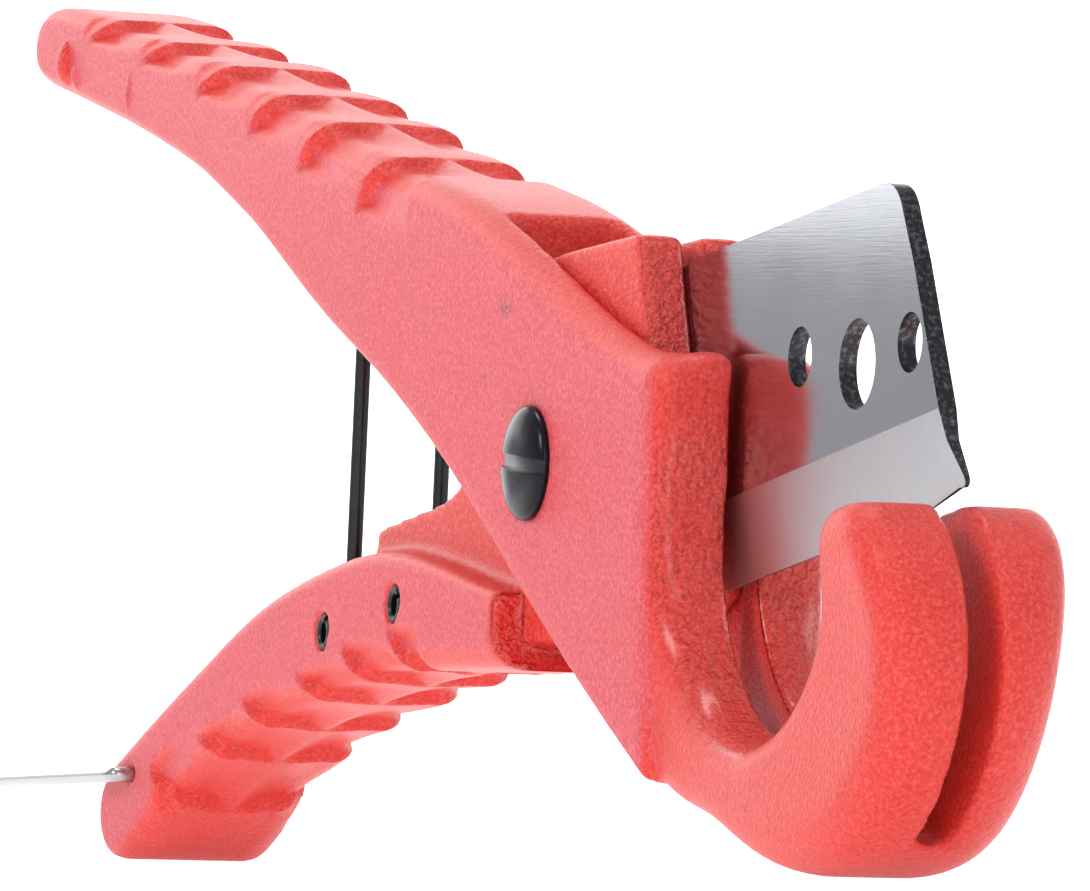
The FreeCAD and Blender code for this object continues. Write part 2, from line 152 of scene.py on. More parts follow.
class Finish:
    # one material and the nodes in it
    def __init__(self, name, slot):
        self.material = bpy.data.materials.new(name)
        self.material.use_nodes = True
        self.slot = slot
        self.tree = self.material.node_tree
        self.tree.nodes.clear()
        self.out = self.tree.nodes.new("ShaderNodeOutputMaterial")
        self.shader = self.tree.nodes.new("ShaderNodeBsdfPrincipled")
        self.tree.links.new(self.shader.outputs[0], self.out.inputs[0])

    def put(self, socket, value):
        if isinstance(value, Wire):
            self.tree.links.new(value.socket, socket)
        else:
            socket.default_value = value

    def node(self, kind, settings=None, inputs=None, output=0):
        made = self.tree.nodes.new(kind)
        for key, value in (settings or {}).items():
            setattr(made, key, value)
        for key, value in (inputs or {}).items():
            self.put(made.inputs[key], value)
        return Wire(self, made.outputs[output])

    def set(self, **values):
        # Base_Color and the like, with spaces written as underscores
        for key, value in values.items():
            self.put(self.shader.inputs[key.replace("_", " ")], value)

    def place(self):
        # object coordinates in mm about the pivot, level with the castings' own drawing
        coords = self.node("ShaderNodeTexCoord", output="Object")
        moved = self.node("ShaderNodeVectorMath", {"operation": "SUBTRACT"},
                          {0: coords, 1: tuple(pivot)})
        turned = self.node("ShaderNodeVectorRotate", {"rotation_type": "Y_AXIS"},
                           {"Vector": moved, "Angle": -math.radians(stand["tilt"])})
        return self.node("ShaderNodeVectorMath", {"operation": "SCALE"}, {0: turned, "Scale": 1000.0})

    def facing(self):
        # the surface's own direction, level with the castings' drawing
        coords = self.node("ShaderNodeTexCoord", output="Normal")
        return self.node("ShaderNodeVectorRotate", {"rotation_type": "Y_AXIS"},
                         {"Vector": coords, "Angle": -math.radians(stand["tilt"])})

    def parts(self, vector):
        split = self.tree.nodes.new("ShaderNodeSeparateXYZ")
        self.put(split.inputs[0], vector)
        return [Wire(self, s) for s in split.outputs]

    def blend(self, factor, a, b):
        return self.node("ShaderNodeMix", {"data_type": "RGBA"},
                         {"Factor": factor, 6: a if isinstance(a, Wire) else (*a, 1),
                          7: b if isinstance(b, Wire) else (*b, 1)}, output=2)

    def speckle(self, where, scale, detail=2.0, rough=0.5):
        return self.node("ShaderNodeTexNoise", {"noise_dimensions": "3D"},
                         {"Vector": where, "Scale": scale, "Detail": detail, "Roughness": rough})

    def bump(self, height, strength, depth, before=None):
        inputs = {"Height": height, "Strength": strength, "Distance": depth}
        if before:
            inputs["Normal"] = before
        return self.node("ShaderNodeBump", {}, inputs)


# a baked sand coat: matt on the flat faces behind the cradle and red and shinier elsewhere; the pink on those
# flat faces is a painted sheen of the light, kept off the inner walls
# grain, cloud, wrinkle and chip are noise scales per mm; a scuff is x, z, wide, tall in mm about the pivot
# of the coat's tones, the pink is a painted sheen on the flats, the pale specks are painted glints and deep
# is painted shade in the grain's pits
coat = {"sheenPink": (0.70, 0.070, 0.092), "red": (0.76, 0.036, 0.022), "deep": (0.44, 0.010, 0.012),
        "grainGlint": (0.84, 0.19, 0.20), "scuff": (0.16, 0.05, 0.07), "grain": 2.4, "cloud": 0.09,
        "wrinkle": 1.05, "chip": 1.1, "grainDepth": 0.00036, "wrinkleDepth": 0.00110, "ior": 1.42,
        "flatRough": 0.50, "roundRough": 0.30, "sheenEnds": (37.0, 33.5), "wallInside": 8.0,
        "scuffs": ((-9, 15.5, 3.0, 1.6), (-14.5, 8, 2.2, 1.2))}
# the wrinkles run round the cradle's rim, and down the fronts of the blade holder and the grip's shoulder
cradle = {"x": 53.6, "z": -5.0, "radius": 19.6, "bandFrom": 31.0, "bandTo": 33.0}
holder = {"frontFrom": -16.0, "frontTo": -12.0}


def redCoat(name, wrinkled, scuffs=()):
    f = Finish(name, "red_paint")
    spot = f.place()
    x, y, z = f.parts(spot)
    nx, ny, nz = f.parts(f.facing())
    # flat marks the outward flat side faces, which get the painted pink sheen
    flat = ny.size().ease(0.86, 0.99) * x.ease(*coat["sheenEnds"])
    grain = f.speckle(spot, coat["grain"], 3.0, 0.65)
    cloud = f.speckle(spot, coat["cloud"])
    coarse = f.speckle(spot, coat["wrinkle"], 2.0, 0.55)
    rough = wrinkled(f, x, y, z, nx, ny, nz)
    # inside keeps the inner walls near the middle red, without the painted sheen
    inside = ny.size().over(0.8) * y.size().below(coat["wallInside"])
    hue = f.blend(flat * (1.0 - inside) * (0.82 + cloud * 0.3), coat["red"], coat["sheenPink"])
    # paler specks on the grain's peaks, strongest on the flat faces: painted glints
    hue = f.blend(grain.ease(0.50, 0.64) * (0.30 + flat * 0.24), hue, coat["grainGlint"])
    # darker specks in the grain's pits: painted shade
    hue = f.blend(grain.ease(0.49, 0.36) * 0.42, hue, coat["deep"])
    for sx, sz, wide, tall in scuffs:
        near = (((x - sx) / wide) ** 2.0 + ((z - sz) / tall) ** 2.0).ease(1.0, 0.2)
        chips = f.speckle(spot, coat["chip"], 3.0, 0.7).ease(0.5, 0.62)
        hue = f.blend(near * flat * chips * 0.8, hue, coat["scuff"])
    f.set(Base_Color=hue, Metallic=0.0, IOR=coat["ior"], Coat_Roughness=0.2)
    f.set(Roughness=coat["roundRough"] + flat * (coat["flatRough"] - coat["roundRough"]) - rough * 0.06
          + (grain - 0.5) * 0.12)
    f.set(Coat_Weight=0.10 + rough * 0.45)
    first = f.bump(grain, 0.85, coat["grainDepth"])
    f.set(Normal=f.bump(coarse * (0.06 + rough), 0.9, coat["wrinkleDepth"], first))
    return f


def bodyWrinkle(f, x, y, z, nx, ny, nz):
    # the band round the inside of the cradle, none on the flat sides
    away = ((x - cradle["x"]) ** 2.0 + (z - cradle["z"]) ** 2.0) ** 0.5
    inner = away.ease(cradle["radius"] + 3.0, cradle["radius"] + 0.6) * (1.0 - ny.size().ease(0.7, 0.95))
    return inner * x.ease(cradle["bandFrom"], cradle["bandTo"])


def leverWrinkle(f, x, y, z, nx, ny, nz):
    # front of the blade holder and of the grip's shoulder
    return nx.ease(0.55, 0.85) * x.ease(holder["frontFrom"], holder["frontTo"])


# heel is the low end of the cutting edge in x and z, rise the edge's slope and bevel its width, in mm
steel = {"plate": (0.50, 0.505, 0.54), "ground": (0.62, 0.62, 0.64), "cut": (0.05, 0.05, 0.055),
         "cutWorn": (0.22, 0.22, 0.23), "plateRough": 0.11, "bevelRough": 0.33, "heel": (23.5, -12.85),
         "rise": math.atan2(4.6, 24.3), "bevel": 8.6, "bevelBlur": 0.12, "bumpDepth": 0.00004}


def bladeSteel():
    f = Finish("groundBladeSteel", "blade_steel")
    spot = f.place()
    x, y, z = f.parts(spot)
    nx, ny, nz = f.parts(f.facing())
    c, s = math.cos(steel["rise"]), math.sin(steel["rise"])
    heelX, heelZ = steel["heel"]
    above = (z - heelZ) * c - (x - heelX) * s
    along = (x - heelX) * c + (z - heelZ) * s
    bevel = above.ease(steel["bevel"] + steel["bevelBlur"], steel["bevel"] - steel["bevelBlur"])
    face = ny.size().ease(0.35, 0.75)
    lay = f.node("ShaderNodeCombineXYZ", {}, {0: x * 0.10, 1: y, 2: z * 3.2})
    grind = f.node("ShaderNodeCombineXYZ", {}, {0: along * 3.4, 1: y, 2: above * 0.12})
    streak, cutLines = f.speckle(lay, 1.4, 4.0, 0.7), f.speckle(grind, 1.5, 4.0, 0.7)
    patch = f.speckle(spot, 0.06, 2.0)
    hue = f.blend(bevel * (0.3 + cutLines * 0.9), steel["plate"], steel["ground"])
    worn = f.blend(f.speckle(spot, 2.0, 3.0).ease(0.45, 0.8), steel["cut"], steel["cutWorn"])
    hue = f.blend(1.0 - face, hue, worn)
    f.set(Base_Color=hue, Metallic=1.0)
    f.set(Roughness=steel["plateRough"] + bevel * (steel["bevelRough"] - steel["plateRough"])
          + (streak - 0.5) * 0.06 + (patch - 0.5) * 0.10 + (1.0 - face) * 0.2)
    height = streak * (1.0 - bevel) * 0.10 + cutLines * bevel * 0.7
    f.set(Normal=f.bump(height, 0.6, steel["bumpDepth"]))
    return f


def metal(name, slot, colour, rough, depth=0.00002, scale=3.0, coatWeight=0.0, metallic=1.0, shine=0.5):
    # a fine grain of two close tones: scale is per mm, depth in metres
    f = Finish(name, slot)
    spot = f.place()
    grain = f.speckle(spot, scale, 3.0, 0.6)
    paler = tuple(min(1, c * 1.35 + 0.004) for c in colour)
    f.set(Base_Color=f.blend(grain.ease(0.45, 0.7) * 0.5, colour, paler), Metallic=metallic,
          Coat_Weight=coatWeight, Coat_Roughness=0.08, Specular_IOR_Level=shine,
          Roughness=rough + (grain - 0.5) * 0.14, Normal=f.bump(grain, 0.5, depth))
    return f


finishes = {
    "body": redCoat("redSandCoat", bodyWrinkle, coat["scuffs"]),
    "lever": redCoat("redSandCoatLever", leverWrinkle),
    "blade": bladeSteel(),
    "pivot": metal("glossBlackOxide", "black_oxide", (0.004, 0.004, 0.008), 0.22,
                   depth=0.00001, scale=0.8, metallic=0.0, shine=0.22),
    "spring": metal("darkSpringSteel", "spring_steel", (0.035, 0.036, 0.04), 0.34,
                    scale=2.2, coatWeight=0.1, metallic=0.9),
    "wire": metal("brightZincWire", "bright_wire", (0.46, 0.46, 0.48), 0.24, depth=0.00003, scale=1.6),
    "bronze": metal("bareBronze", "bronze", (0.58, 0.36, 0.16), 0.32),
    "dowel": metal("groundSteel", "dowel_steel", (0.52, 0.52, 0.54), 0.26),
}
print("finishes made")


def dress(obj, finish):
    obj.data.materials.clear()
    obj.data.materials.append(finish.material)
    return obj


def newPiece(name, mesh):
    obj = bpy.data.objects.new(name, mesh)
    scene.collection.objects.link(obj)
    return obj


def copyOf(node, name):
    # a welded copy of a CAD node's mesh, to be refined
    mesh = nodes[node].data.copy()
    mesh.name = name
    shape = bmesh.new()
    shape.from_mesh(mesh)
    bmesh.ops.remove_doubles(shape, verts=shape.verts, dist=2e-6)
    shape.to_mesh(mesh)
    shape.free()
    for layer in list(mesh.attributes):
        if layer.name.startswith("sharp") or layer.name == "custom_normal":
            mesh.attributes.remove(layer)
    return newPiece(name, mesh)


def settle(obj):
    # the modifiers' result becomes the plain mesh
    graph = bpy.context.evaluated_depsgraph_get()
    mesh = bpy.data.meshes.new_from_object(obj.evaluated_get(graph), depsgraph=graph)
    old = obj.data
    obj.modifiers.clear()
    obj.data = mesh
    mesh.name = obj.name
    if old.users == 0:
        bpy.data.meshes.remove(old)
    return obj


def finishPiece(obj, finish, body, *stands, smooth=True, sharp=None):
    dress(obj, finish)
    if smooth:
        obj.data.shade_smooth()
    if sharp:
        obj.data.set_sharp_from_angle(angle=math.radians(sharp))
    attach(obj, body)
    if stands:
        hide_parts(*stands)
    return obj


# blur and blurAgain are smoothing passes after each remesh. a scoop is refilled down to reach below the
# edge and from inset inside the corner's centre; ridges are cut down to band below the edge
skin = {"blur": 3, "blurAgain": 2, "strength": 0.5, "reach": 7, "inset": 1.2, "least": 0.2, "band": 9.0}
# both handles carry thumb ridges: a low wall that starts on the side face and bows over the edge,
# with a floor that rises again before the next one. starts are the walls' feet, in mm about the pivot
ridges = {"sweep": 4.5, "return": 1.6, "wall": 0.55, "depth": 1.25, "fade": 19.0, "lead": 2,
          "hold": 3, "turnOver": 6, "startFade": 3.0, "endFade": 4.0, "past": 0.5}
upper = {"up": 1, "side": 9.5, "round": 3.8, "from": -173, "to": -41, "voxel": 0.00057,
         "starts": ((-163.5, 48.6), (-140.9, 45.1), (-117.6, 40.4),
                    (-97.1, 35.2), (-78.2, 30.6), (-57.5, 25.7))}
lower = {"up": -1, "side": 9.5, "round": 3.0, "from": -136, "to": -31, "voxel": 0.00050,
         "starts": ((-124.0, -37.5), (-106.5, -33.0), (-90.5, -27.5),
                    (-71.5, -24.0), (-56.0, -20.0), (-41.5, -17.5))}
# the cheeks' front corners, between from and to, and the rim of the cradle, between two distances from
# its centre, are softened by this many passes; each pair is where the softening starts and its fade
softened = {"passes": 60, "factor": 0.8, "from": 30.5, "to": 38.0, "fade": 2, "cheekSide": (4, 2),
            "cheekFoot": (-24, 8), "rimIn": (18, 1.5), "rimOut": (27, 3), "rimSide": (5, 1.5),
            "rimBack": 30, "rimFront": (61, 6)}
# the latch nubs near the handle's end, and the short mould mark beside them, which leans by markLean
nub = {"x": -172.0, "z": 46.6, "wide": 2.0, "tall": 2.6, "height": 1.2, "within": -140, "facing": 0.6,
       "markX": -144.5, "markZ": 42.2, "markLean": 0.12, "markWide": 0.8, "markTall": 3.6,
       "markHeight": 0.35}


def smooth01(t):
    t = min(1.0, max(0.0, t))
    return t * t * (3 - 2 * t)


def local(v):
    # a vertex and its direction, in mm about the pivot
    return level @ (v.co - pivot) * 1000, level @ v.normal


def outline(mesh, handle):
    # the handle's outer edge as heights against x, read from the middle of the skin
    rows = {}
    for v in mesh.vertices:
        q, n = local(v)
        if abs(q.y) < 1.5 and n.z * handle["up"] > 0.4 and handle["from"] - 3 < q.x < handle["to"] + 3:
            key = round(q.x)
            rows[key] = max(rows.get(key, -999), q.z * handle["up"])
    return rows


def edgeAt(rows, handle, x):
    k = math.floor(x)
    a, b = rows.get(k), rows.get(k + 1)
    if a is None or b is None:
        return None
    return (a + (b - a) * (x - k)) * handle["up"]


def fillScoops(mesh, handle, rows):
    # the frame's plain scoops go back to the rounded edge they were cut from
    r, up = handle["round"], handle["up"]
    for v in mesh.vertices:
        q, n = local(v)
        if not handle["from"] < q.x < handle["to"]:
            continue
        edge = edgeAt(rows, handle, q.x)
        if edge is None:
            continue
        slope = (edgeAt(rows, handle, q.x + 2) or edge) - edge
        tilt = math.cos(math.atan(slope / 2))
        deep = (edge - q.z) * up * tilt
        dy, dn = abs(q.y) - (handle["side"] - r), r - deep
        way = 1 if q.y > 0 else -1
        outward = n.y * way * max(dy, skin["least"]) + n.z * up * max(dn, skin["least"])
        if deep > skin["reach"] or dy < -skin["inset"] or outward <= 0:
            continue
        if dy > 0 and dn > 0:
            near = math.hypot(dy, dn)
            if near < r:
                dy, dn = dy * r / near, dn * r / near
        elif dy > 0:
            dy = r
        elif dn > 0:
            dn = r
        target = Vector((q.x, way * (dy + handle["side"] - r), edge - up * (r - dn) / tilt))
        v.co = at(*target)


def ridgeDepth(q, handle, rows):
    # how far a point sinks: at once in front of a wall, then less and less up to the next
    most = 0.0
    edge = edgeAt(rows, handle, q.x)
    if edge is None:
        return 0.0
    deep = (edge - q.z) * handle["up"]
    for sx, sz in handle["starts"]:
        if not -1 < q.x - sx < ridges["fade"] + ridges["sweep"]:
            continue
        foot = abs(edgeAt(rows, handle, sx) - sz)
        along = foot - deep + handle["side"] - abs(q.y)
        if along < 0:
            continue
        bow = ridges["sweep"] * math.sin(math.pi / 2 * min(1.0, along / (foot + ridges["lead"])))
        over = smooth01((along - foot - ridges["hold"]) / ridges["turnOver"])
        front = q.x - (sx + bow - ridges["return"] * over)
        if not -ridges["wall"] < front < ridges["fade"]:
            continue
        wall = smooth01((front + ridges["wall"]) / (2 * ridges["wall"]))
        left = foot + handle["side"] + ridges["past"] - along
        ends = smooth01(along / ridges["startFade"]) * smooth01(left / ridges["endFade"])
        most = max(most, ridges["depth"] * wall * (1 - smooth01(front / ridges["fade"])) * ends)
    return most


def cutRidges(mesh, handle, rows):
    moves = []
    for v in mesh.vertices:
        q, n = local(v)
        if handle["from"] < q.x < handle["to"] and n.z * handle["up"] > -0.35:
            edge = edgeAt(rows, handle, q.x)
            if edge is not None and (edge - q.z) * handle["up"] < skin["band"]:
                d = ridgeDepth(q, handle, rows)
                if d > 0.01:
                    moves.append((v.index, v.normal.copy(), d))
    for i, n, d in moves:
        mesh.vertices[i].co -= n * d * 0.001


def soften(obj, weigh, factor, passes):
    # smooths only where weigh gives a weight
    group = obj.vertex_groups.new(name="soft")
    for v in obj.data.vertices:
        weight = weigh(local(v)[0])
        if weight > 0:
            group.add((v.index,), weight, "REPLACE")
    relax = obj.modifiers.new("relax", "SMOOTH")
    relax.factor, relax.iterations, relax.vertex_group = factor, passes, "soft"
    settle(obj)
    obj.vertex_groups.clear()


def after(value, start):
    # rises from 0 at the start's place to 1 over its fade
    place, fade = start
    return smooth01((value - place) / fade)


def before(value, end):
    # falls to 0 at the end's place over its fade
    place, fade = end
    return smooth01((place - value) / fade)


def cheekWeight(q):
    s = softened
    front = after(q.x, (s["from"], s["fade"])) * before(q.x, (s["to"], s["fade"]))
    front *= after(abs(q.y), s["cheekSide"]) * after(q.z, s["cheekFoot"])
    away = math.hypot(q.x - cradle["x"], q.z - cradle["z"])
    rim = after(away, s["rimIn"]) * before(away, s["rimOut"]) * after(abs(q.y), s["rimSide"])
    rim *= (q.x > s["rimBack"]) * before(q.x, s["rimFront"])
    return max(front, rim)


def raiseNub(mesh):
    for v in mesh.vertices:
        q, n = local(v)
        if abs(n.y) < nub["facing"] or q.x > nub["within"]:
            continue
        dx, dz = q.x - nub["x"], q.z - nub["z"]
        dome = 1 - (dx / nub["wide"]) ** 2 - (dz / nub["tall"]) ** 2
        lift = nub["height"] * math.sqrt(dome) if dome > 0 else 0.0
        mz = q.z - nub["markZ"]
        mx = q.x - nub["markX"] - nub["markLean"] * mz
        mark = smooth01(1 - abs(mx) / nub["markWide"]) * smooth01(1 - abs(mz) / nub["markTall"])
        lift += nub["markHeight"] * mark
        if lift > 0:
            v.co += lean @ Vector((0, 1 if q.y > 0 else -1, 0)) * lift * 0.001


def voxels(obj, size, blur):
    remesh = obj.modifiers.new("cast", "REMESH")
    remesh.mode, remesh.voxel_size, remesh.adaptivity = "VOXEL", size, 0.0
    soft = obj.modifiers.new("soften", "SMOOTH")
    soft.factor, soft.iterations = skin["strength"], blur
    settle(obj)


def castSkin(node, finish, body, handle, weigh=None, extra=None):
    obj = copyOf(node, node + "_skin")
    voxels(obj, handle["voxel"], skin["blur"])
    rows = outline(obj.data, handle)
    fillScoops(obj.data, handle, rows)
    voxels(obj, handle["voxel"], skin["blurAgain"])
    if weigh:
        soften(obj, weigh, softened["factor"], softened["passes"])
    cutRidges(obj.data, handle, rows)
    if extra:
        extra(obj.data)
    print(node, "faces", len(obj.data.polygons))
    return finishPiece(obj, finish, body, node)


castSkin("body_casting", finishes["body"], "body", upper, cheekWeight, raiseNub)
castSkin("lever_casting", finishes["lever"], "lever", lower)
print("castings made")


bladeEdge = {"width": 0.00010, "segments": 2, "from": 25, "sharp": 50, "weight": 100}


def roundEdges(obj, width, segments, fromAngle):
    # a small bevel on every edge sharper than fromAngle, in degrees
    edge = obj.modifiers.new("edge", "BEVEL")
    edge.width, edge.segments = width, segments
    edge.limit_method, edge.angle_limit = "ANGLE", math.radians(fromAngle)


def makeBlade():
    obj = copyOf("blade", "blade_ground")
    roundEdges(obj, bladeEdge["width"], bladeEdge["segments"], bladeEdge["from"])
    true = obj.modifiers.new("true", "WEIGHTED_NORMAL")
    true.mode, true.weight, true.keep_sharp = "FACE_AREA", bladeEdge["weight"], True
    obj.data.shade_smooth()
    obj.data.set_sharp_from_angle(angle=math.radians(bladeEdge["sharp"]))
    settle(obj)
    return finishPiece(obj, finishes["blade"], "lever", "blade", smooth=False)


makeBlade()


# a domed, slotted head in mm: foot and footRise are the small chamfer under it, and dome's two powers
# shape its sides and its top. face is its underside's distance from the middle, turns are in degrees.
# a shank is (radius, distance inwards from the face) pairs
head = {"radius": 5.8, "height": 1.9, "rim": 0.45, "rimRound": 0.1, "foot": 0.06, "footRise": 0.08,
        "dome": (0.72, 0.95), "slotWide": 1.5, "slotDeep": 1.3, "tool": (9, 2), "rings": 14, "around": 96,
        "face": 9.22, "nearTurn": 4.0, "farTurn": 35.0, "edge": 0.00012, "segments": 3, "from": 40,
        "sharp": 45, "screwShank": [(2.5, 0.0), (2.5, 16.0), (2.2, 16.5)],
        "nutShank": [(4.0, 0.0), (4.0, 18.7), (2.53, 18.7), (2.53, 2.2)]}
tiny = 1e-6


def domeProfile():
    # radius and height pairs from the rim to the crown
    radius, rise = head["radius"], head["height"] - head["rim"]
    sides, top = head["dome"]
    pts = [(radius - head["foot"], 0.0), (radius, head["footRise"]), (radius, head["rim"] - head["rimRound"])]
    for i in range(head["rings"] + 1):
        t = i / head["rings"] * math.pi / 2
        pts.append((radius * math.cos(t) ** sides, head["rim"] + rise * math.sin(t) ** top))
    return pts


def turned(profile, y0, way, around):
    # a closed shape turned about the pivot; profile is (radius, height from y0) pairs
    shape = bmesh.new()
    rings = []
    for r, h in profile:
        if r < tiny:
            rings.append([shape.verts.new(at(0, way * (y0 + h), 0))])
            continue
        ring = []
        for k in range(around):
            a = 2 * math.pi * k / around
            ring.append(shape.verts.new(at(r * math.cos(a), way * (y0 + h), r * math.sin(a))))
        rings.append(ring)
    for a, b in zip(rings, rings[1:]):
        for k in range(around):
            n = (k + 1) % around
            if len(b) == 1:
                shape.faces.new((a[k], a[n], b[0]))
            elif len(a) == 1:
                shape.faces.new((a[0], b[n], b[k]))
            else:
                shape.faces.new((a[k], a[n], b[n], b[k]))
    for ring in (rings[0], rings[-1]):
        if len(ring) > 1:
            shape.faces.new(ring)
    bmesh.ops.recalc_face_normals(shape, faces=shape.faces)
    mesh = bpy.data.meshes.new("turned")
    shape.to_mesh(mesh)
    shape.free()
    return mesh


def boxMesh(centre, half, turn):
    shape = bmesh.new()
    bmesh.ops.create_cube(shape, size=1.0)
    spin = Matrix.Rotation(math.radians(turn), 3, "Y")
    for v in shape.verts:
        v.co = at(*(spin @ Vector((v.co.x * 2 * half[0], v.co.y * 2 * half[1], v.co.z * 2 * half[2]))
                    + Vector(centre)))
    bmesh.ops.recalc_face_normals(shape, faces=shape.faces)
    mesh = bpy.data.meshes.new("cutter")
    shape.to_mesh(mesh)
    shape.free()
    return mesh


def pivotHead(name, way, turn, shank, body, node):
    profile = list(reversed([(r, -d) for r, d in shank])) + domeProfile()
    profile = [p for p in profile if p[0] > tiny] + [(0.0, head["height"])]
    obj = newPiece(name, turned(profile, head["face"], way, head["around"]))
    toolLong, toolDeep = head["tool"]
    y = way * (head["face"] + head["height"] - head["slotDeep"] + toolDeep)
    tool = newPiece(name + "_tool", boxMesh((0, y, 0), (toolLong, toolDeep, head["slotWide"] / 2), turn))
    slot = obj.modifiers.new("slot", "BOOLEAN")
    slot.object, slot.operation, slot.solver = tool, "DIFFERENCE", "EXACT"
    roundEdges(obj, head["edge"], head["segments"], head["from"])
    settle(obj)
    bpy.data.objects.remove(tool)
    return finishPiece(obj, finishes["pivot"], body, node, sharp=head["sharp"])


pivotHead("pivot_screw_head", -1, head["nearTurn"], head["screwShank"], "body", "pivot_screw")
pivotHead("pivot_nut_head", 1, head["farTurn"], head["nutShank"], "body", "pivot_nut")
print("pivot made")


wireEnds = {"diameter": 0.0017, "around": 20, "order": 3, "resolution": 6, "sharp": 50}


def wireTree(name):
    # sweeps a round section along a curve: inputs Diameter, Around and Material
    tree = bpy.data.node_groups.new(name, "GeometryNodeTree")
    face = tree.interface
    face.new_socket("Geometry", in_out="INPUT", socket_type="NodeSocketGeometry")
    diameter = face.new_socket("Diameter", in_out="INPUT", socket_type="NodeSocketFloat")
    around = face.new_socket("Around", in_out="INPUT", socket_type="NodeSocketInt")
    diameter.default_value, around.default_value = wireEnds["diameter"], wireEnds["around"]
    face.new_socket("Material", in_out="INPUT", socket_type="NodeSocketMaterial")
    face.new_socket("Geometry", in_out="OUTPUT", socket_type="NodeSocketGeometry")
    make = tree.nodes.new
    source, sink = make("NodeGroupInput"), make("NodeGroupOutput")
    ring, half = make("GeometryNodeCurvePrimitiveCircle"), make("ShaderNodeMath")
    sweep, real = make("GeometryNodeCurveToMesh"), make("GeometryNodeRealizeInstances")
    paint = make("GeometryNodeSetMaterial")
    half.operation, half.inputs[1].default_value = "MULTIPLY", 0.5
    sweep.inputs["Fill Caps"].default_value = True
    given = source.outputs
    for a, b in ((given["Geometry"], sweep.inputs["Curve"]), (given["Diameter"], half.inputs[0]),
                 (half.outputs[0], ring.inputs["Radius"]), (given["Around"], ring.inputs["Resolution"]),
                 (ring.outputs["Curve"], sweep.inputs["Profile Curve"]), (sweep.outputs[0], real.inputs[0]),
                 (real.outputs[0], paint.inputs["Geometry"]), (given["Material"], paint.inputs["Material"]),
                 (paint.outputs[0], sink.inputs[0])):
        tree.links.new(a, b)
    return tree


roundWire = wireTree("roundWire")


def sweptWire(name, points, diameter, finish, around=wireEnds["around"]):
    # a smooth wire through control points in mm about the pivot
    line = bpy.data.curves.new(name, "CURVE")
    line.dimensions = "3D"
    spline = line.splines.new("NURBS")
    spline.points.add(len(points) - 1)
    for p, q in zip(spline.points, points):
        p.co = (*at(*q), 1)
    spline.order_u, spline.use_endpoint_u = wireEnds["order"], True
    line.resolution_u = wireEnds["resolution"]
    obj = newPiece(name + "_line", line)
    modifier = obj.modifiers.new("wire", "NODES")
    modifier.node_group = roundWire
    given = {"Diameter": diameter * 0.001, "Around": around, "Material": finish.material}
    for socket, value in given.items():
        modifier[roundWire.interface.items_tree[socket].identifier] = value
    graph = bpy.context.evaluated_depsgraph_get()
    mesh = bpy.data.meshes.new_from_object(obj.evaluated_get(graph), depsgraph=graph)
    bpy.data.objects.remove(obj)
    shape = bmesh.new()
    shape.from_mesh(mesh)
    bmesh.ops.remove_doubles(shape, verts=shape.verts, dist=tiny)
    bmesh.ops.recalc_face_normals(shape, faces=shape.faces)
    shape.to_mesh(mesh)
    shape.free()
    mesh.name = name
    return newPiece(name, mesh)


# one leg, its coil round the rear pin and half of the loop under the front pin, then the same mirrored.
# legStops and loopStops are shares of the leg and of the run from coil to loop
spring = {"wire": 1.7, "coil": 3.55, "turns": 2.25, "side": 4.85, "leg": 39.5, "x": -62.3, "z": -19.6,
          "loopX": -37.8, "loopZ": -18.65, "pitch": 1.74, "steps": 32, "bow": 1.1, "bowRise": 0.05,
          "legStops": (1, 0.85, 0.6, 0.4, 0.2, 0.08), "loopStops": (0.3, 0.7, 1.0)}


def springPath():
    s = spring
    near = [(s["x"] - s["coil"], -s["side"], s["z"] + s["leg"] * f) for f in s["legStops"]]
    steps = s["steps"]
    stretch = 1 / math.cos(math.pi * s["turns"] / steps)  # control points sit outside the round they draw
    for i in range(steps + 1):
        a = math.pi + 2 * math.pi * s["turns"] * i / steps
        x, z = s["x"] + s["coil"] * stretch * math.cos(a), s["z"] + s["coil"] * stretch * math.sin(a)
        near.append((x, -s["side"] + s["pitch"] * s["turns"] * i / steps, z))
    inner = near[-1][1]
    low = s["z"] - s["coil"]
    for f in s["loopStops"]:
        x, z = s["x"] + (s["loopX"] - s["x"]) * f, low + (s["loopZ"] - s["z"] + s["coil"]) * f
        near.append((x, inner, z))
    near.append((s["loopX"] + s["bow"], inner, s["loopZ"] + s["bowRise"]))
    return near + [(x, -y, z) for x, y, z in reversed(near)]


handleSpring = sweptWire("handle_spring_wire", springPath(), spring["wire"], finishes["spring"])
dress(handleSpring, finishes["spring"])
handleSpring.data.shade_smooth()
handleSpring.data.set_sharp_from_angle(angle=math.radians(wireEnds["sharp"]))
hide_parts("handle_spring")
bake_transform(handleSpring, "lever", "body", start=at(-66, 0, -15), end=at(-66, 0, 19))

# the wire latch: its cross bar runs through the lever at x and z, its legs reach length back at tilt
# below level, and the hooked tips turn in to tip from the middle. corner rounds both bends
bail = {"wire": 1.8, "around": 24, "x": -130.6, "z": -39.5, "length": 50.9, "side": 11.6, "tilt": 4.4,
        "tip": 9.85, "corner": 0.5, "legStops": (0.7, 0.35), "bar": 5.0}


def bailPath():
    b = bail
    c, s = math.cos(math.radians(b["tilt"])), math.sin(math.radians(b["tilt"]))
    far, leg, corner = b["length"], -b["side"], -b["side"] + b["corner"]

    def run(d, y):
        # a point d along the leg from the cross bar
        return b["x"] - c * d, y, b["z"] - s * d

    near = [run(far, -b["tip"]), run(far, corner), run(far - 0.1, leg), run(far - 1.6, leg)]
    near += [run(far * f, leg) for f in b["legStops"]]
    near += [run(3.0, leg), run(0.4, leg), run(0, corner), run(0, leg + 2.6), run(0, -b["bar"])]
    return near + [(x, -y, z) for x, y, z in reversed(near)]


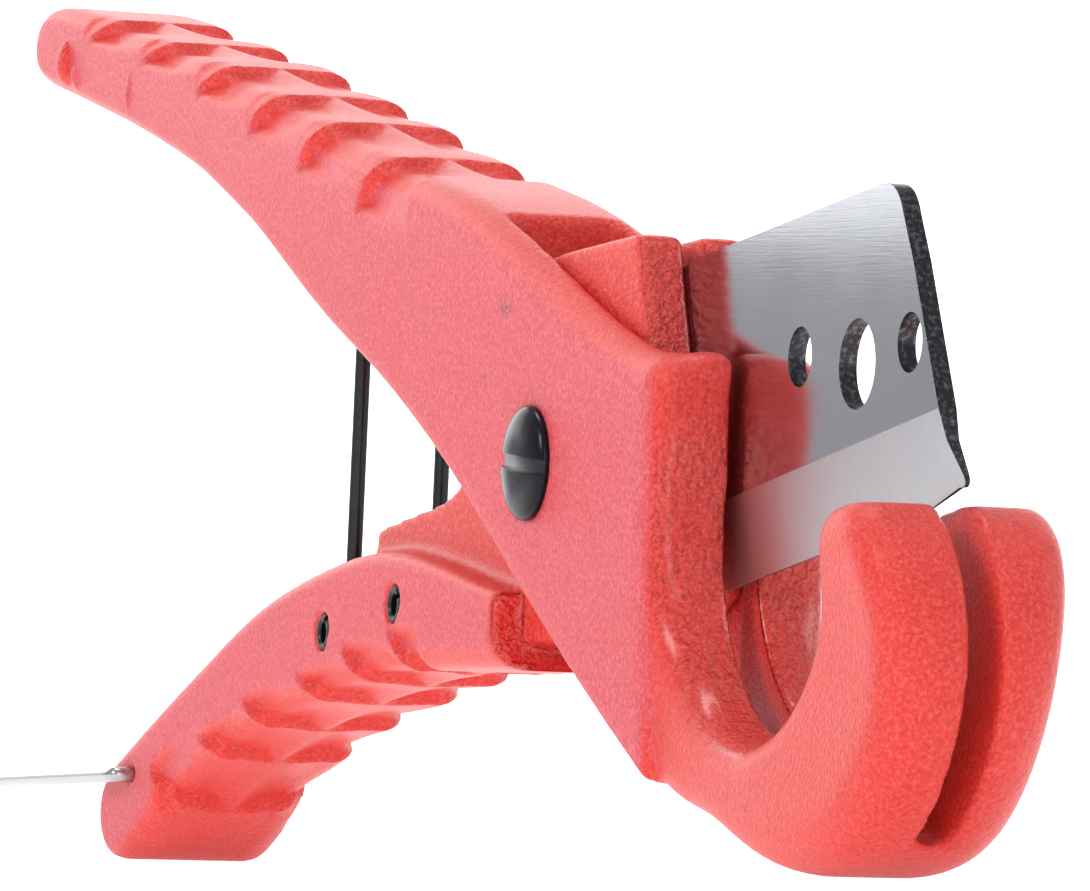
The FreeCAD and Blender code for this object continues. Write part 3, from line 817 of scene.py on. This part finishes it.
latchBail = sweptWire("latch_bail_wire", bailPath(), bail["wire"], finishes["wire"], bail["around"])
finishPiece(latchBail, finishes["wire"], "bail", "latch_bail", sharp=wireEnds["sharp"])
print("wires made")


# slotted spring pins: spot is x and z in mm about the pivot, slitTurn in degrees
rollPin = {"radius": 2.0, "wall": 0.8, "slit": 0.7, "half": 9.4, "chamfer": 0.25, "steps": 40, "sharp": 35}
rollPins = {"spring_pin": {"spot": (spring["x"], spring["z"]), "slitTurn": -60},
            "anchor_pin": {"spot": (-39.4, -15.7), "slitTurn": -35}}


def makeRollPin(name, x, z, slitTurn, node):
    half, cut = rollPin["half"], rollPin["chamfer"]
    r0, r1 = rollPin["radius"] - rollPin["wall"], rollPin["radius"]
    gap = math.asin(rollPin["slit"] / 2 / r1)
    section = [(r0, -half + cut), (r0 + cut, -half), (r1 - cut, -half), (r1, -half + cut),
               (r1, half - cut), (r1 - cut, half), (r0 + cut, half), (r0, half - cut)]
    shape = bmesh.new()
    rows = []
    for k in range(rollPin["steps"] + 1):
        a = -math.radians(slitTurn) + gap + (2 * math.pi - 2 * gap) * k / rollPin["steps"]
        rows.append([shape.verts.new(at(x + r * math.cos(a), y, z + r * math.sin(a))) for r, y in section])
    for a, b in zip(rows, rows[1:]):
        for k in range(len(section)):
            n = (k + 1) % len(section)
            shape.faces.new((a[k], a[n], b[n], b[k]))
    shape.faces.new(rows[0])
    shape.faces.new(rows[-1])
    bmesh.ops.recalc_face_normals(shape, faces=shape.faces)
    mesh = bpy.data.meshes.new(name)
    shape.to_mesh(mesh)
    shape.free()
    finishPiece(newPiece(name, mesh), finishes["spring"], "lever", node, sharp=rollPin["sharp"])


for node, pin in rollPins.items():
    makeRollPin(node + "_roll", *pin["spot"], pin["slitTurn"], node)

for node in ("thrust_washer_near", "thrust_washer_far"):
    dress(nodes[node], finishes["bronze"])
for node in ("blade_dowel_upper", "blade_dowel_lower"):
    dress(nodes[node], finishes["dowel"])
print("small pieces made")


floor = {"flat": 0.17, "run": 0.45, "drop": 0.03, "radius": 4.0, "around": 96, "rings": 60, "spread": 2.2,
         "shade": (0.93, 0.93, 0.93), "rough": 0.9, "glow": 0.4}


def makeFloor():
    # level under the tool, then falling gently away
    shape = bmesh.new()
    centre = shape.verts.new((0, 0, 0))
    last = None
    for i in range(1, floor["rings"] + 1):
        r = floor["radius"] * (i / floor["rings"]) ** floor["spread"]
        z = -floor["drop"] * smooth01((r - floor["flat"]) / floor["run"])
        angles = [2 * math.pi * k / floor["around"] for k in range(floor["around"])]
        ring = [shape.verts.new((r * math.cos(a), r * math.sin(a), z)) for a in angles]
        for k in range(floor["around"]):
            n = (k + 1) % floor["around"]
            if last is None:
                shape.faces.new((centre, ring[k], ring[n]))
            else:
                shape.faces.new((last[k], ring[k], ring[n], last[n]))
        last = ring
    mesh = bpy.data.meshes.new("floor")
    shape.to_mesh(mesh)
    shape.free()
    mesh.shade_smooth()
    obj = newPiece("floor", mesh)
    f = Finish("paleFloor", "floor")
    f.set(Base_Color=(*floor["shade"], 1), Roughness=floor["rough"],
          Emission_Color=(1, 1, 1, 1), Emission_Strength=floor["glow"])
    mesh.materials.append(f.material)


makeFloor()

wall = {"distance": 3.2, "half": 2.2, "middle": 0.02, "glow": 1.15, "rough": 0.9, "shade": (0.9, 0.9, 0.9)}


def makeWall():
    # a plain white glowing backdrop behind the tool, square to the camera
    turn, half = scene.camera.matrix_world.to_3x3(), wall["half"]
    right, up, away = turn @ Vector((1, 0, 0)), turn @ Vector((0, 1, 0)), turn @ Vector((0, 0, -1))
    mid = Vector((0, 0, wall["middle"])) + away * wall["distance"]
    signs = ((-1, -1), (1, -1), (1, 1), (-1, 1))
    shape = bmesh.new()
    shape.faces.new([shape.verts.new(mid + right * a * half + up * b * half) for a, b in signs])
    mesh = bpy.data.meshes.new("backdrop")
    shape.to_mesh(mesh)
    shape.free()
    obj = newPiece("backdrop", mesh)
    f = Finish("whiteBackdrop", "floor")
    f.set(Base_Color=(*wall["shade"], 1), Roughness=wall["rough"],
          Emission_Color=(1, 1, 1, 1), Emission_Strength=wall["glow"])
    mesh.materials.append(f.material)


makeWall()

lights = {
    "key": {"from": (0.30, -0.80, 0.55), "size": (0.30, 0.30), "power": 3.3},
    "front": {"from": (0.95, -0.18, 0.22), "size": (0.22, 0.5), "power": 0.9},
    "far": {"from": (0.25, 0.85, 0.45), "size": (0.4, 0.4), "power": 1.5},
    "top": {"from": (-0.15, -0.05, 0.95), "size": (0.30, 0.30), "power": 3.0},
    "rear": {"from": (-0.85, -0.25, 0.40), "size": (0.4, 0.5), "power": 0.9},
}
sky = {"colour": (0.95, 0.97, 1.0, 1), "strength": 0.52}
aim = at(10, 0, 5)
for name, light in lights.items():
    lamp = bpy.data.lights.new(name, "AREA")
    lamp.shape, lamp.energy = "RECTANGLE", light["power"]
    lamp.size, lamp.size_y = light["size"]
    obj = bpy.data.objects.new(name, lamp)
    scene.collection.objects.link(obj)
    obj.location = light["from"]
    obj.rotation_euler = (aim - Vector(light["from"])).to_track_quat("-Z", "Y").to_euler()
world = bpy.data.worlds.new("studio")
world.use_nodes = True
background = world.node_tree.nodes["Background"]
background.inputs["Color"].default_value = sky["colour"]
background.inputs["Strength"].default_value = sky["strength"]
scene.world = world
scene.view_settings.view_transform = "Standard"
print("stage made")
